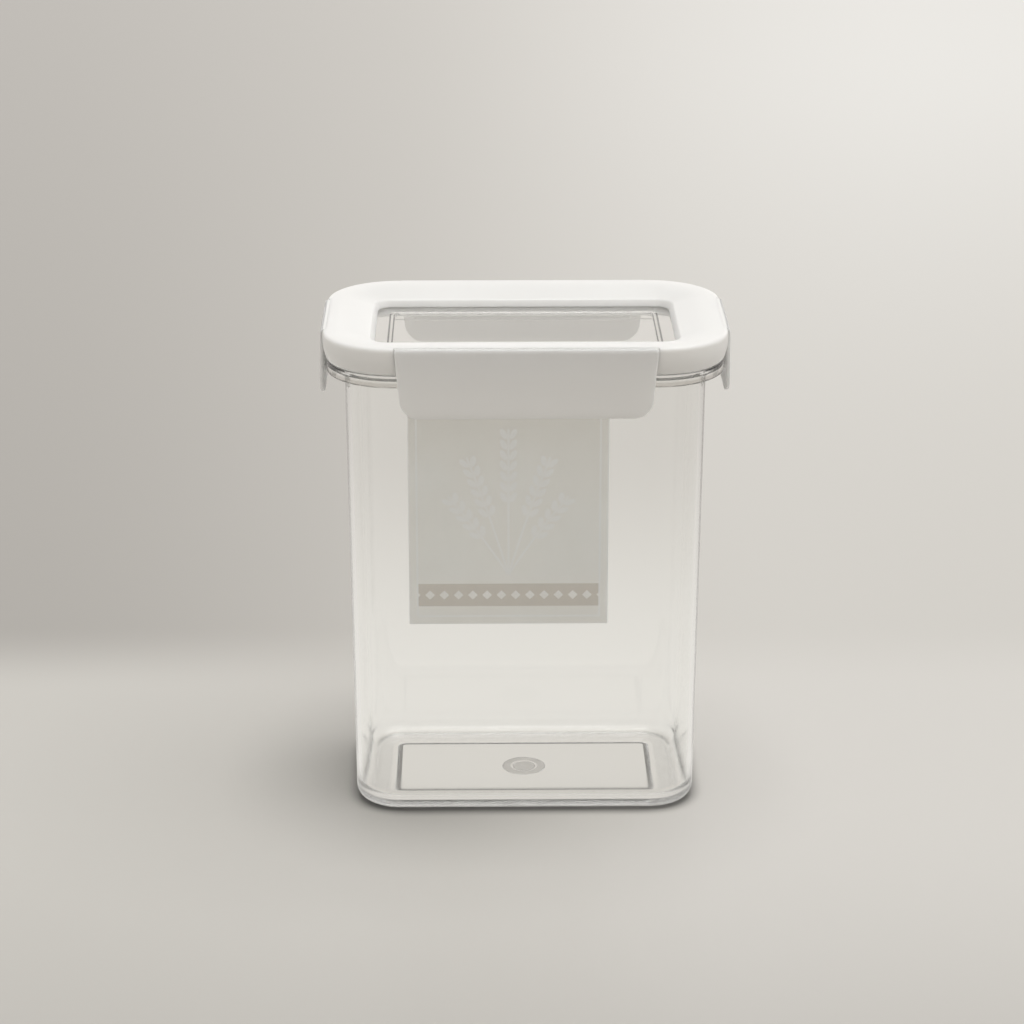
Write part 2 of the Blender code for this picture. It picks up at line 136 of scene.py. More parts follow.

# %% [markdown]
# ## The floor
# The canister stands on a pale floor that fades into a softly lit backdrop. A wide flat floor is enough, because
# the camera looks down and never sees its end. Camera rays see the soft grey tones of the picture, with light and
# shade painted in: darker on the left and towards the front, a painted pool of light on the backdrop at the upper
# right, painted shade close to the tub and a painted shadow to its left. Rays that plastic bends and mirrors see
# the floor glow as a pale sweep, as in the studio where clear walls and gloss pick up a white sweep, with painted
# shade where it runs under the tub. Diffuse rays see a plain, paler floor.

# %% Floor
def floor_material():
    """Pale floor: grey tones with painted light and shade for the camera, a glowing sweep for rays plastic bends and
    mirrors.
    """
    material, tree, output = new_material("pale_floor")
    spot = place(tree, "ShaderNodeTexCoord").outputs["Object"]
    axes = place(tree, "ShaderNodeSeparateXYZ", {0: spot})
    depth = axes.outputs["Y"]
    reach = reckon(tree, "MAXIMUM", reckon(tree, "ADD", depth, 1.14), 0.3)
    lean = reckon(tree, "DIVIDE", axes.outputs["X"], reach)
    side = ease(tree, lean, -0.19, 0.10)
    far = ease(tree, depth, 0.085, 0.165)
    near = ease(tree, depth, -0.05, -0.40)
    # Painted light: darker on the left and towards the front, brighter on the right, and glow paints a pool of light on
    # the backdrop at the upper right.
    floor_tone = blend_colours(tree, side, (0.570, 0.552, 0.517, 1), (0.650, 0.630, 0.598, 1))
    floor_tone = blend_colours(tree, near, floor_tone, (0.452, 0.434, 0.406, 1))
    wall_tone = blend_colours(tree, side, (0.385, 0.367, 0.342, 1), (0.605, 0.586, 0.552, 1))
    glow = reckon(tree, "MULTIPLY", ease(tree, lean, -0.04, 0.15), ease(tree, depth, 0.15, 1.60))
    wall_tone = blend_colours(tree, glow, wall_tone, (0.765, 0.756, 0.732, 1))
    tones = blend_colours(tree, far, floor_tone, wall_tone)
    # Painted shade: ambient occlusion darkens the floor close to the tub, and a wider occlusion, weighted to the left,
    # paints a shadow there on top of the lamp's real one.
    crevice = place(tree, "ShaderNodeAmbientOcclusion", {"Distance": 0.009}, samples=16).outputs["AO"]
    shade = ease(tree, crevice, 0.30, 0.87, 0.13, 1.0)
    gloom = place(tree, "ShaderNodeAmbientOcclusion", {"Distance": 0.06}, samples=16).outputs["AO"]
    painted_shadow_left = ease(tree, axes.outputs["X"], 0.05, -0.08, 0.12, 0.85)
    shade = reckon(tree, "MULTIPLY", shade, reckon(tree, "SUBTRACT", 1.0, reckon(
        tree, "MULTIPLY", painted_shadow_left, reckon(tree, "SUBTRACT", 1.0, gloom))))
    seen = place(tree, "ShaderNodeVectorMath", {0: tones, 1: shade}, operation="MULTIPLY").outputs[0]
    rays = place(tree, "ShaderNodeLightPath")
    through = reckon(tree, "ADD", rays.outputs["Is Glossy Ray"], rays.outputs["Is Transmission Ray"])
    colour = blend_colours(tree, rays.outputs["Is Camera Ray"], (0.59, 0.568, 0.53, 1), seen)
    skin = place(tree, "ShaderNodeBsdfPrincipled", {"Base Color": colour, "Roughness": 0.30})
    skin.inputs["Specular IOR Level"].default_value = 0.3
    # Painted light and shade: rays that plastic bends or mirrors see the floor glow as a sweep, paler in front and near
    # the tub, darker further back, and darker still where the floor runs close to and under the tub.
    sweep = blend_colours(tree, ease(tree, depth, 0.03, 0.45), (0.805, 0.785, 0.745, 1), (0.615, 0.588, 0.553, 1))
    sweep = blend_colours(tree, ease(tree, crevice, 0.1, 0.7), (0.680, 0.655, 0.612, 1), sweep)
    shown = place(tree, "ShaderNodeEmission", {"Color": sweep, "Strength": 1.0})
    surface = place(tree, "ShaderNodeMixShader", {0: through, 1: skin.outputs[0], 2: shown.outputs[0]})
    tree.links.new(surface.outputs[0], output.inputs["Surface"])
    return material


floor_mesh = bpy.data.meshes.new("studio_floor")
FLOOR_REACH = 9.0
floor_corners = [(-FLOOR_REACH, -FLOOR_REACH, 0), (FLOOR_REACH, -FLOOR_REACH, 0),
                 (FLOOR_REACH, FLOOR_REACH, 0), (-FLOOR_REACH, FLOOR_REACH, 0)]
floor_mesh.from_pydata(floor_corners, [], [(0, 1, 2, 3)])
floor = bpy.data.objects.new("studio_floor", floor_mesh)
floor_mesh.materials.append(floor_material())
bpy.context.scene.collection.objects.link(floor)
floor.location.z = -0.00005
print("Floor", 2 * FLOOR_REACH, "m across")

# %% [markdown]
# ## Light
# A very soft lamp stands high on the right, so the shadow falls short and to the left. The sky around the object
# is bright overhead and dim towards the camera, as in a studio with a dark room in front of the table. That dim
# side is what keeps the front of the latches grey. Light is mirrored many times inside a thick clear foot, and
# Blender's usual limit of four mirror bounces would leave black patches there, so the limits are raised.

# %% Lamp and sky
lamp_data = bpy.data.lights.new("soft_lamp", "SUN")
lamp_data.energy = 1.95
lamp_data.angle = math.radians(50)
lamp_data.color = (1.0, 0.998, 0.99)
lamp = bpy.data.objects.new("soft_lamp", lamp_data)
lamp.rotation_euler = Vector((0.22, 0.0, 1.0)).to_track_quat("Z", "Y").to_euler()
bpy.context.scene.collection.objects.link(lamp)

world = bpy.data.worlds.new("studio_sky")
bpy.context.scene.world = world
world.use_nodes = True
sky = world.node_tree
sky.nodes.clear()
heading = place(sky, "ShaderNodeSeparateXYZ", {0: place(sky, "ShaderNodeTexCoord").outputs["Generated"]})
behind = ease(sky, heading.outputs["Y"], -0.35, 0.55)
beside = ease(sky, reckon(sky, "ABSOLUTE", heading.outputs["X"]), 0.55, 0.92)
low_glow = blend_colours(sky, behind, (0.46, 0.419, 0.374, 1), (0.97, 0.93, 0.885, 1))
low_glow = blend_colours(sky, beside, low_glow, (0.98, 0.96, 0.925, 1))
height = ease(sky, heading.outputs["Z"], 0.15, 0.75)
glow = blend_colours(sky, height, low_glow, (0.36, 0.36, 0.355, 1))
around = place(sky, "ShaderNodeBackground", {"Color": glow, "Strength": 1.0})
seen_sky = place(sky, "ShaderNodeBackground", {"Color": (0.66, 0.64, 0.60, 1), "Strength": 1.0})
rays = place(sky, "ShaderNodeLightPath")
choose = place(sky, "ShaderNodeMixShader", {0: rays.outputs["Is Camera Ray"], 1: around.outputs[0],
                                            2: seen_sky.outputs[0]})
sky_out = place(sky, "ShaderNodeOutputWorld", {"Surface": choose.outputs[0]})
bpy.context.scene.view_settings.view_transform = "Standard"

MIRROR_BOUNCES, ALL_BOUNCES = 12, 20
paths = bpy.context.scene.cycles
paths.glossy_bounces = MIRROR_BOUNCES
paths.transmission_bounces = ALL_BOUNCES
paths.transparent_max_bounces = ALL_BOUNCES
paths.max_bounces = ALL_BOUNCES
print("One soft lamp, a studio sky, and up to", ALL_BOUNCES, "bounces of light")

# %% [markdown]
# ## A shared surface: moulded skin
# All the plastic here came out of a mould, so no face is perfectly flat. There is a long, lazy ripple from
# cooling and a fine grain from the tool. One node group makes both as heights, and each material sets its own
# strengths. It also gives a slow mottling that the materials use for gloss and tone.

# %% Moulded skin group
def moulded_skin_group():
    """Shader group: ripple and grain as one height, and a slow mottle from 0 to 1."""
    group = bpy.data.node_groups.new("moulded_skin", "ShaderNodeTree")
    for label, usual in (("Ripple Scale", 40.0), ("Ripple", 0.5), ("Grain Scale", 3000.0), ("Grain", 0.5)):
        socket = group.interface.new_socket(label, in_out="INPUT", socket_type="NodeSocketFloat")
        socket.default_value = usual
    for label in ("Height", "Mottle"):
        group.interface.new_socket(label, in_out="OUTPUT", socket_type="NodeSocketFloat")
    given = group.nodes.new("NodeGroupInput").outputs
    result = group.nodes.new("NodeGroupOutput").inputs
    spot = place(group, "ShaderNodeTexCoord").outputs["Object"]
    ripple = place(group, "ShaderNodeTexNoise", {"Vector": spot, "Scale": given["Ripple Scale"], "Detail": 1.0})
    grain = place(group, "ShaderNodeTexNoise", {"Vector": spot, "Scale": given["Grain Scale"], "Detail": 2.0})
    slow = reckon(group, "MULTIPLY", ripple.outputs["Fac"], given["Ripple"])
    total = reckon(group, "MULTIPLY_ADD", grain.outputs["Fac"], given["Grain"], slow)
    group.links.new(total, result["Height"])
    mottle = place(group, "ShaderNodeTexNoise", {"Vector": spot, "Scale": 55.0, "Detail": 3.0})
    group.links.new(mottle.outputs["Fac"], result["Mottle"])
    return group


moulded_skin = moulded_skin_group()
print("Group", moulded_skin.name, "with", len(moulded_skin.nodes), "nodes")

# %% [markdown]
# ## Clear plastic
# The tub and the window are clear, glossy plastic of about the weight of acrylic. A Principled shader with full
# transmission bends and reflects light as the real wall does, because the wall here has its true thickness.
# Lamps are let through with a little loss, so that what stands inside or behind the tub isn't in deep shade.
# Two tints paint shade: a near-black line round the recessed panel and a grey lip stand in for the dark lines
# that bent light shows there.

# %% Clear plastic
MOUTH_X, MOUTH_Y, MOUTH_CORNER = 70.2647, 41.9647, 20.0647
PANEL_X, PANEL_Y, PANEL_CORNER = 52.6, 24.4, 3.5


def beyond_outline(tree, right, back, half_x, half_y, corner):
    """Distance outwards from a rounded rectangle, in plan."""
    past_x = reckon(tree, "SUBTRACT", reckon(tree, "ABSOLUTE", right), (half_x - corner) * MM)
    past_y = reckon(tree, "SUBTRACT", reckon(tree, "ABSOLUTE", back), (half_y - corner) * MM)
    over_x = reckon(tree, "MAXIMUM", past_x, 0.0)
    over_y = reckon(tree, "MAXIMUM", past_y, 0.0)
    square = reckon(tree, "MULTIPLY_ADD", over_x, over_x, reckon(tree, "MULTIPLY", over_y, over_y))
    within = reckon(tree, "MINIMUM", reckon(tree, "MAXIMUM", past_x, past_y), 0.0)
    total = reckon(tree, "ADD", reckon(tree, "SQRT", square), within)
    return reckon(tree, "SUBTRACT", total, corner * MM)


def band(tree, value, low, high, soft):
    """A mask that is 1 between two values, given in millimetres."""
    rise = ease(tree, value, (low - soft) * MM, (low + soft) * MM)
    return reckon(tree, "MULTIPLY", rise, ease(tree, value, (high + soft) * MM, (high - soft) * MM))


def clear_plastic_material():
    """Clear glossy plastic that lets lamp light through."""
    material, tree, output = new_material("clear_plastic_skin")
    skin = place(tree, "ShaderNodeGroup", node_tree=moulded_skin)
    skin.inputs["Ripple Scale"].default_value = 22.0
    skin.inputs["Ripple"].default_value = 1.0
    skin.inputs["Grain Scale"].default_value = 1800.0
    skin.inputs["Grain"].default_value = 0.001
    spot = place(tree, "ShaderNodeSeparateXYZ", {0: place(tree, "ShaderNodeTexCoord").outputs["Object"]})
    right, back, up = spot.outputs["X"], spot.outputs["Y"], spot.outputs["Z"]
    wall = reckon(tree, "MULTIPLY", ease(tree, up, 8.0 * MM, 30.0 * MM), ease(tree, up, 178.0 * MM, 160.0 * MM))
    ripple = reckon(tree, "MULTIPLY", skin.outputs["Height"], wall)
    bump = place(tree, "ShaderNodeBump", {"Height": ripple, "Strength": 0.009, "Distance": 0.001})
    under = ease(tree, up, 2.1 * MM, 1.8 * MM)
    reach = reckon(tree, "SQRT", reckon(tree, "MULTIPLY_ADD", right, right, reckon(tree, "MULTIPLY", back, back)))
    gate_ring = band(tree, reach, 4.4, 5.5, 0.3)
    gate = reckon(tree, "MULTIPLY", ease(tree, reach, 8.8 * MM, 8.5 * MM), under)
    gate = reckon(tree, "MULTIPLY", gate, reckon(tree, "MULTIPLY_ADD", gate_ring, -0.6, 1.0))
    off_panel = beyond_outline(tree, right, back, PANEL_X, PANEL_Y, PANEL_CORNER)
    # Painted shade: a near-black line round the recessed panel stands in for the dark edge that bent light shows at the
    # step.
    painted_dark_outline = reckon(tree, "MULTIPLY", band(tree, off_panel, -2.1, 0.1, 0.1), under)
    off_mouth = beyond_outline(tree, right, back, MOUTH_X, MOUTH_Y, MOUTH_CORNER)
    # Painted shade: a grey tint on the flange's lip stands in for the dark bands that bent light shows there.
    lip = reckon(tree, "MULTIPLY", ease(tree, off_mouth, 3.6 * MM, 4.2 * MM), band(tree, up, 180.4, 182.6, 0.25))
    tint = blend_colours(tree, gate, (0.985, 0.985, 0.975, 1), (0.60, 0.58, 0.56, 1))
    tint = blend_colours(tree, painted_dark_outline, tint, (0.018, 0.017, 0.016, 1))
    tint = blend_colours(tree, lip, tint, (0.76, 0.74, 0.715, 1))
    land = reckon(tree, "MULTIPLY", ease(tree, off_mouth, 0.2 * MM, 0.6 * MM), band(tree, up, 185.3, 187.0, 0.1))
    scuff = reckon(tree, "MULTIPLY", ease(tree, off_panel, 1.0 * MM, 3.0 * MM), ease(tree, up, 6.0 * MM, 3.0 * MM))
    scuff = reckon(tree, "MULTIPLY", scuff, 0.7)
    inner_foot = reckon(tree, "MULTIPLY", ease(tree, off_mouth, -2.7 * MM, -3.2 * MM), ease(tree, up, 20.0 * MM, 7.0 * MM))
    inner_foot = reckon(tree, "MULTIPLY", inner_foot, ease(tree, off_panel, 2.0 * MM, 5.0 * MM, 0.0, 0.6))
    matt = reckon(tree, "MAXIMUM", reckon(tree, "MAXIMUM", gate, land), reckon(tree, "MAXIMUM", scuff, inner_foot))
    polish = ease(tree, skin.outputs["Mottle"], 0.3, 0.7, 0.01, 0.03)
    gloss = reckon(tree, "MULTIPLY_ADD", matt, 0.34, polish)
    body = place(tree, "ShaderNodeBsdfPrincipled",
                 {"Base Color": tint, "Roughness": gloss, "Normal": bump.outputs["Normal"]})
    body.inputs["IOR"].default_value = 1.52
    body.inputs["Transmission Weight"].default_value = 1.0
    passing = place(tree, "ShaderNodeBsdfTransparent", {"Color": (0.95, 0.95, 0.94, 1.0)})
    rays = place(tree, "ShaderNodeLightPath")
    surface = place(tree, "ShaderNodeMixShader", {0: rays.outputs["Is Shadow Ray"], 1: body.outputs[0],
                                                  2: passing.outputs[0]})
    tree.links.new(surface.outputs[0], output.inputs["Surface"])
    return material


clear_plastic = clear_plastic_material()
print("Material", clear_plastic.name)

# %% [markdown]
# ## White plastic
# The lid and the latches are white polypropylene: satin, very slightly warm, with a fine spark-eroded grain.
# Light sinks in a little before it comes out again, which softens thin edges, so a small subsurface share helps.

# %% White plastic
def white_plastic_material(name, light_depth, roughness):
    """Satin white polypropylene: how deep light sinks into it in millimetres, and its least roughness."""
    material, tree, output = new_material(name)
    skin = place(tree, "ShaderNodeGroup", node_tree=moulded_skin)
    skin.inputs["Ripple Scale"].default_value = 60.0
    skin.inputs["Ripple"].default_value = 0.08
    skin.inputs["Grain Scale"].default_value = 3600.0
    skin.inputs["Grain"].default_value = 0.05
    bump = place(tree, "ShaderNodeBump", {"Height": skin.outputs["Height"], "Strength": 0.12, "Distance": 0.001})
    tone = blend_colours(tree, skin.outputs["Mottle"], (0.872, 0.865, 0.848, 1), (0.892, 0.885, 0.868, 1))
    gloss = ease(tree, skin.outputs["Mottle"], 0.25, 0.75, roughness, roughness + 0.1)
    body = place(tree, "ShaderNodeBsdfPrincipled",
                 {"Base Color": tone, "Roughness": gloss, "Normal": bump.outputs["Normal"]})
    body.inputs["IOR"].default_value = 1.49
    body.inputs["Subsurface Weight"].default_value = 1.0 if light_depth else 0.0
    body.inputs["Subsurface Radius"].default_value = (1.0, 1.0, 1.0)
    body.inputs["Subsurface Scale"].default_value = light_depth * MM
    tree.links.new(body.outputs[0], output.inputs["Surface"])
    return material


white_plastic = white_plastic_material("white_plastic_skin", 2.2, 0.28)
latch_plastic = white_plastic_material("white_plastic_latch", 2.0, 0.32)
side_latch_plastic = white_plastic_material("white_plastic_thin", 7.0, 0.4)
strip_plastic = white_plastic_material("white_plastic_strip", 0, 0.28)
print("Materials", white_plastic.name, latch_plastic.name, side_latch_plastic.name, strip_plastic.name)

# %% [markdown]
# ## Silicone
# The seal is soft translucent silicone. It is matt, a little milky, and mostly hidden between tub and lid.

# %% Silicone
def silicone_material():
    """Milky matt silicone rubber."""
    material, tree, output = new_material("silicone_skin")
    skin = place(tree, "ShaderNodeGroup", node_tree=moulded_skin)
    skin.inputs["Ripple Scale"].default_value = 90.0
    skin.inputs["Ripple"].default_value = 0.4
    skin.inputs["Grain Scale"].default_value = 2400.0
    skin.inputs["Grain"].default_value = 0.08
    bump = place(tree, "ShaderNodeBump", {"Height": skin.outputs["Height"], "Strength": 0.15, "Distance": 0.001})
    tone = blend_colours(tree, skin.outputs["Mottle"], (0.80, 0.80, 0.78, 1), (0.86, 0.86, 0.84, 1))
    body = place(tree, "ShaderNodeBsdfPrincipled", {"Base Color": tone, "Normal": bump.outputs["Normal"]})
    body.inputs["Roughness"].default_value = 0.55
    body.inputs["Subsurface Weight"].default_value = 0.3
    body.inputs["Subsurface Scale"].default_value = 0.002
    tree.links.new(body.outputs[0], output.inputs["Surface"])
    return material


silicone = silicone_material()
print("Material", silicone.name)

# %% [markdown]
# ## One rule for most pieces: stacked rings
# The tub, the seal, the lid, the window and even the latches are all stacks of rounded rectangles. So one
# Geometry Nodes tree makes them all. It is given a row of points, one for each ring, that carry the ring's
# half width, half depth, corner radii and level. It lays a grid over them and bends each row of the grid into its
# rounded rectangle. Modelling by hand would work too, but a rule keeps every piece in step with the CAD sizes.

# %% Ring tree
RING_FACTS = ("half_width", "half_depth", "corner", "low_corner", "level", "middle")


def ring_tree():
    """Geometry tree: points with ring sizes in, a smooth skin over rounded rectangles out."""
    tree = bpy.data.node_groups.new("stacked_rings", "GeometryNodeTree")
    tree.interface.new_socket("Rings", in_out="INPUT", socket_type="NodeSocketGeometry")
    tree.interface.new_socket("Corner Steps", in_out="INPUT", socket_type="NodeSocketInt")
    tree.interface.new_socket("Taper", in_out="INPUT", socket_type="NodeSocketFloat")
    tree.interface.new_socket("Finish", in_out="INPUT", socket_type="NodeSocketMaterial")
    tree.interface.new_socket("Mesh", in_out="OUTPUT", socket_type="NodeSocketGeometry")
    given = tree.nodes.new("NodeGroupInput").outputs
    result = tree.nodes.new("NodeGroupOutput").inputs

    per_corner = reckon(tree, "ADD", given["Corner Steps"], 1.0)
    around = reckon(tree, "MULTIPLY_ADD", per_corner, 4.0, 1.0)
    rings = place(tree, "GeometryNodeAttributeDomainSize", {"Geometry": given["Rings"]}, component="MESH")
    sheet = place(tree, "GeometryNodeMeshGrid",
                  {"Vertices X": rings.outputs["Point Count"], "Vertices Y": around})
    index = place(tree, "GeometryNodeInputIndex").outputs[0]
    row = reckon(tree, "FLOOR", reckon(tree, "DIVIDE", reckon(tree, "ADD", index, 0.5), around))
    column = reckon(tree, "SUBTRACT", index, reckon(tree, "MULTIPLY", row, around))

    facts = {}
    for fact in RING_FACTS:
        stored = place(tree, "GeometryNodeInputNamedAttribute", {"Name": fact}, data_type="FLOAT")
        read = place(tree, "GeometryNodeSampleIndex",
                     {"Geometry": given["Rings"], "Value": stored.outputs[0], "Index": row},
                     data_type="FLOAT", domain="POINT")
        facts[fact] = read.outputs[0]

    quarter = reckon(tree, "FLOOR", reckon(tree, "DIVIDE", reckon(tree, "ADD", column, 0.5), per_corner))
    step = reckon(tree, "SUBTRACT", column, reckon(tree, "MULTIPLY", quarter, per_corner))
    turned = reckon(tree, "ADD", quarter, reckon(tree, "DIVIDE", step, given["Corner Steps"]))
    angle = reckon(tree, "MULTIPLY", turned, math.pi / 2)
    towards = reckon(tree, "MULTIPLY", reckon(tree, "ADD", quarter, 0.5), math.pi / 2)
    side_x = reckon(tree, "SIGN", reckon(tree, "COSINE", towards))
    side_y = reckon(tree, "SIGN", reckon(tree, "SINE", towards))
    low = reckon(tree, "LESS_THAN", side_y, 0.0)
    drop = reckon(tree, "SUBTRACT", facts["low_corner"], facts["corner"])
    radius = reckon(tree, "MULTIPLY_ADD", low, drop, facts["corner"])

    x_centre = reckon(tree, "MULTIPLY", side_x, reckon(tree, "SUBTRACT", facts["half_width"], radius))
    y_centre = reckon(tree, "MULTIPLY", side_y, reckon(tree, "SUBTRACT", facts["half_depth"], radius))
    x_wide = reckon(tree, "MULTIPLY_ADD", radius, reckon(tree, "COSINE", angle), x_centre)
    y_ring = reckon(tree, "MULTIPLY_ADD", radius, reckon(tree, "SINE", angle), y_centre)
    y = reckon(tree, "ADD", y_ring, facts["middle"])
    x = reckon(tree, "MULTIPLY", x_wide, reckon(tree, "MULTIPLY_ADD", y, given["Taper"], 1.0))
    spot = place(tree, "ShaderNodeCombineXYZ", {"X": x, "Y": y, "Z": facts["level"]})

    bent = place(tree, "GeometryNodeSetPosition", {"Geometry": sheet.outputs["Mesh"], "Position": spot.outputs[0]})
    joined = place(tree, "GeometryNodeMergeByDistance", {"Geometry": bent.outputs[0], "Distance": 2e-6})
    smooth = place(tree, "GeometryNodeSetShadeSmooth", {"Geometry": joined.outputs[0]})
    real = place(tree, "GeometryNodeRealizeInstances", {"Geometry": smooth.outputs[0]})
    finish = place(tree, "GeometryNodeSetMaterial", {"Geometry": real.outputs[0], "Material": given["Finish"]})
    tree.links.new(finish.outputs[0], result["Mesh"])
    return tree


ring_loft = ring_tree()
print("Tree", ring_loft.name, "with", len(ring_loft.nodes), "nodes")

# %% [markdown]
# ## Running the tree
# The rings go in as a mesh of loose points with one attribute for each fact. The modifier's inputs are set by the
# socket's identifier, the result is turned into a plain mesh, and the modifier goes away with its object. Normals
# are weighted by face area at the end, so that flat walls stay optically flat next to their rounded edges.

# %% Ring helpers
def ring(half_width, half_depth, corner, level, low_corner=None, middle=0.0):
    """One ring's facts in millimetres, in the tree's order."""
    lower = corner if low_corner is None else low_corner
    return (half_width, half_depth, max(corner, 0.0), max(lower, 0.0), level, middle)


def skin_over(name, rings, finish, corner_steps=24, taper=0.0):
    """Run the ring tree over the rings and return a plain mesh."""
    points = bpy.data.meshes.new(name + "_rings")
    points.from_pydata([(0.0, 0.0, facts[4] * MM) for facts in rings], [], [])
    for place_in_row, fact in enumerate(RING_FACTS):
        values = points.attributes.new(fact, "FLOAT", "POINT")
        values.data.foreach_set("value", [facts[place_in_row] * MM for facts in rings])
    rail = bpy.data.objects.new(name + "_rings", points)
    bpy.context.scene.collection.objects.link(rail)
    loft = rail.modifiers.new("stacked_rings", "NODES")
    loft.node_group = ring_loft
    wanted = {"Corner Steps": corner_steps, "Taper": taper, "Finish": finish}
    for socket in ring_loft.interface.items_tree:
        if socket.name in wanted:
            loft[socket.identifier] = wanted[socket.name]
    ready = rail.evaluated_get(bpy.context.evaluated_depsgraph_get())
    mesh = bpy.data.meshes.new_from_object(ready)
    bpy.data.objects.remove(rail, do_unlink=True)
    mesh.name = name
    builder = bmesh.new()
    builder.from_mesh(mesh)
    bmesh.ops.dissolve_degenerate(builder, edges=builder.edges, dist=1e-6)
    bmesh.ops.recalc_face_normals(builder, faces=builder.faces)
    builder.to_mesh(mesh)
    builder.free()
    return mesh


def add_piece(name, mesh):
    """Put a finished mesh in the scene as one piece, with flat faces kept flat in its shading."""
    piece = bpy.data.objects.new(name, mesh)
    bpy.context.scene.collection.objects.link(piece)
    weigh = piece.modifiers.new("weighted_normals", "WEIGHTED_NORMAL")
    weigh.mode = "FACE_AREA"
    weigh.weight = 100
    weigh.keep_sharp = True
    print(name, len(mesh.polygons), "faces")
    return piece


def soften(corners, closed=False):
    """Round the corners of a profile, each given as across, up and radius, into short arcs."""
    points = []
    count = len(corners)
    for index, (across, up, radius) in enumerate(corners):
        here = Vector((across, up))
        if radius == 0 or (not closed and index in (0, count - 1)):
            points.append((across, up))
            continue
        back = (Vector(corners[index - 1][:2]) - here).normalized()
        ahead = (Vector(corners[(index + 1) % count][:2]) - here).normalized()
        half = back.angle(ahead) / 2
        centre = here + (back + ahead).normalized() * (radius / math.sin(half))
        start = here + back * (radius / math.tan(half)) - centre
        end = here + ahead * (radius / math.tan(half)) - centre
        sweep = math.atan2(start.x * end.y - start.y * end.x, start.dot(end))
        steps = max(3, round(abs(sweep) / math.radians(11)))
        for step in range(steps + 1):
            turn = sweep * step / steps
            x = start.x * math.cos(turn) - start.y * math.sin(turn)
            y = start.x * math.sin(turn) + start.y * math.cos(turn)
            points.append((centre.x + x, centre.y + y))
    return points


print("Ring helpers ready")

# %% [markdown]
# ## The tub
# Every ring of the tub wall is an offset of one outline, the outside of the wall at the mouth. The section starts at
# the gate mark in the middle of the underside and runs out over the recessed panel and round the foot. It goes on
# up the drafted wall, over the flange with its turned-down lip, over the rim and down the inside to the floor.

# %% Tub
RIM = 190.8
DRAFT = math.tan(math.radians(0.62))


def mouth_ring(offset, level):
    """The mouth's outline moved outwards by an offset."""
    return ring(MOUTH_X + offset, MOUTH_Y + offset, MOUTH_CORNER + offset, level)


def wall_at(level):
    """Offset of the drafted outer wall at a level."""
    return (level - RIM) * DRAFT


def tub_rings():
    """The tub's section from the middle of its underside to the middle of its floor."""
    gate = [(0, 0.9, 0), (4.5, 0.9, 0.15), (4.5, 1.3, 0.15), (8.7, 1.3, 0.15), (8.7, 0.9, 0.15), (11, 0.9, 0)]
    rings = [ring(radius, radius, radius, level) for radius, level in soften(gate)]
    panel = [(-3.3, 0.9, 0), (-0.9, 0.9, 0.15), (0, 0, 0.15), (4, 0, 0)]
    for out, level in soften(panel):
        rings.append(ring(PANEL_X + out, PANEL_Y + out, PANEL_CORNER + out, level))
    section = [
        (wall_at(0) - 6, 0, 0), (wall_at(0), 0, 5.0), (wall_at(183.4), 183.4, 0.8), (4.8, 183.4, 0.6),
        (4.8, 180.7, 0.45), (6.8, 180.7, 0.55), (6.8, 185.75, 0.35), (wall_at(185.75), 185.75, 0.6),
        (wall_at(RIM), RIM, 0.85), (wall_at(RIM) - 2, RIM, 0.85), (wall_at(2.6) - 2, 2.6, 6.5), (-13, 2.6, 0),
    ]
    rings += [mouth_ring(*pair) for pair in soften(section)]
    rings.append(ring(28.3, 0.0, 0.0, 2.6))
    return rings


tub = add_piece("tub", skin_over("tub", tub_rings(), clear_plastic, corner_steps=28))
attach(tub, "canister")
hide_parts("body")

# %% [markdown]
# ## The seal
# A silicone ring lies in a groove under the lid. Its small lip presses on the rim of the tub.

# %% Seal
def seal_rings():
    """The seal's closed section."""
    section = [
        (-4.15, 191.7, 0.25), (-2.85, 191.7, 0.3), (-2.2, 191.1, 0.25), (-0.9, 191.1, 0.25),
        (-0.25, 191.7, 0.3), (1.05, 191.7, 0.25), (1.05, 193.4, 0.3), (-4.15, 193.4, 0.3),
    ]
    rings = [mouth_ring(*pair) for pair in soften(section, closed=True)]
    return rings + rings[:1]


seal = add_piece("seal_ring", skin_over("seal_ring", seal_rings(), silicone))
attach(seal, "lid")
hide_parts("gasket")

# %% [markdown]
# ## The lid frame
# The white frame is one closed ring. Outside it has a skirt that flares up to a rounded brim. On top it dips
# gently towards the window opening. Underneath there is a plug that drops into the mouth, a groove for the seal,
# and a hollow behind the skirt. The rings change on the way from the wide brim corners to the tight opening.

# %% Lid frame
CREST, BRIM, SKIRT_LOW = 196.8, 192.7, 185.9
BRIM_FULLNESS = 6.0
SKIRT_REACH, SKIRT_FLARE = 6.85, 1.4
OPENING_X, OPENING_Y, OPENING_CORNER = 58.365, 28.815, 5.5
OPENING_EDGE, OPENING_ROUND, SEAT = 193.7, 1.8, 190.95


def opening_ring(out, level):
    """The window opening's outline moved outwards."""
    return ring(OPENING_X + out, OPENING_Y + out, OPENING_CORNER + out, level)


def skirt_curve(inset, start, end, steps):
    """The skirt as offset and level pairs between two levels: drawn in at its foot, upright at the brim."""
    pairs = []
    for step in range(steps + 1):
        level = start + (end - start) * step / steps
        share = (level - SKIRT_LOW) / (BRIM - SKIRT_LOW)
        pairs.append((SKIRT_REACH - inset + SKIRT_FLARE * math.sin(math.radians(90) * share), level))
    return pairs


